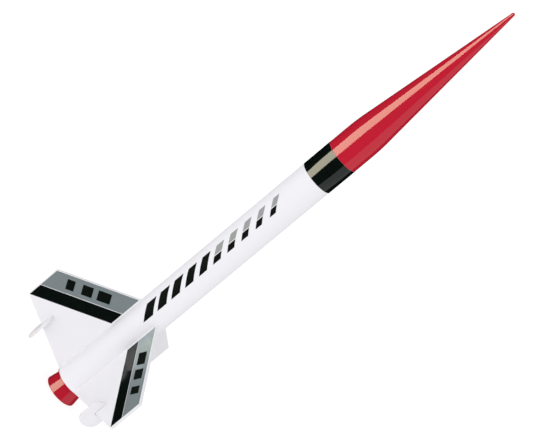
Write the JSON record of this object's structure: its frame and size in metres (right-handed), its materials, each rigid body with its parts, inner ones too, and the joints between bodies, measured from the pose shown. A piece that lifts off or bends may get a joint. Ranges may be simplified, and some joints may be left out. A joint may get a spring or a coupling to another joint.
{
  "type": "model rocket",
  "caption": "Slim model rocket with a long tapered nose, paper body tube, swept fins with end plates, a flared tail ring and a hooked motor mount.",
  "frame": {"origin": "on the rocket's axis, at the rear face of the tail ring, which the rocket stands on", "axes": "+Z along the flight axis towards the nose; fin_1 points along -X; the launch lug and motor hook lie at 120 degrees from +X, away from the body bars, which are centred at 243 degrees"},
  "size_m": [0.0964, 0.1114, 0.395],
  "materials": {
    "white_paper": "gloss-sealed white paper tube",
    "painted_balsa": "sanded and painted white balsa",
    "white_glue": "dried glue, painted white",
    "red_plastic": "glossy moulded red styrene",
    "black_decal": "glossy black self-stick vinyl",
    "silver_decal": "silver-grey metallic vinyl",
    "brown_paper": "spiral-wound kraft paper",
    "card": "die-cut fibre card",
    "spring_steel": "rolled spring steel strip",
    "parachute_film": "thin orange plastic film, rolled"
  },
  "bodies": {
    "airframe": {"body_tube": "white_paper", "band_wrap": "black_decal", "body_bars_dark": "black_decal", "body_bars_light": "silver_decal", "tail_ring": "red_plastic", "motor_tube": "brown_paper", "thrust_ring": "brown_paper", "front_centring_ring": "card", "rear_centring_ring": "card", "hook_strip": "spring_steel", "hook_sleeve": "card", "launch_lug": "white_paper", "cord_anchor": "card", "fin_1": "painted_balsa", "fin_2": "painted_balsa", "fin_3": "painted_balsa", "fin_plate_1": "painted_balsa", "fin_plate_2": "painted_balsa", "fin_plate_3": "painted_balsa", "fin_panel_1": "silver_decal", "fin_panel_2": "silver_decal", "fin_stripe_1": "black_decal", "fin_stripe_2": "black_decal", "fin_bars_1": "black_decal", "fin_bars_2": "black_decal", "glue_fillets": "white_glue"},
    "nose": {"nose_cone": "red_plastic", "nose_plug": "red_plastic"},
    "hook_tail": {"hook_finger": "spring_steel"},
    "parachute": {"parachute_pack": "parachute_film"}
  },
  "joints": [
    {"name": "nose_slide", "type": "slide", "parent": "airframe", "child": "nose", "axis": [0, 0, 1], "range_m": [0, 0.06]},
    {"name": "hook_flex", "type": "hinge", "parent": "airframe", "child": "hook_tail", "pos_m": [-0.00486, 0.00842, 0.034], "axis": [0.866, 0.5, 0], "range_deg": [0, 4], "stiffness_Nm_per_rad": 0.8},
    {"name": "parachute_slide", "type": "slide", "parent": "airframe", "child": "parachute", "axis": [0, 0, 1], "range_m": [0, 0.05]}
  ]
}
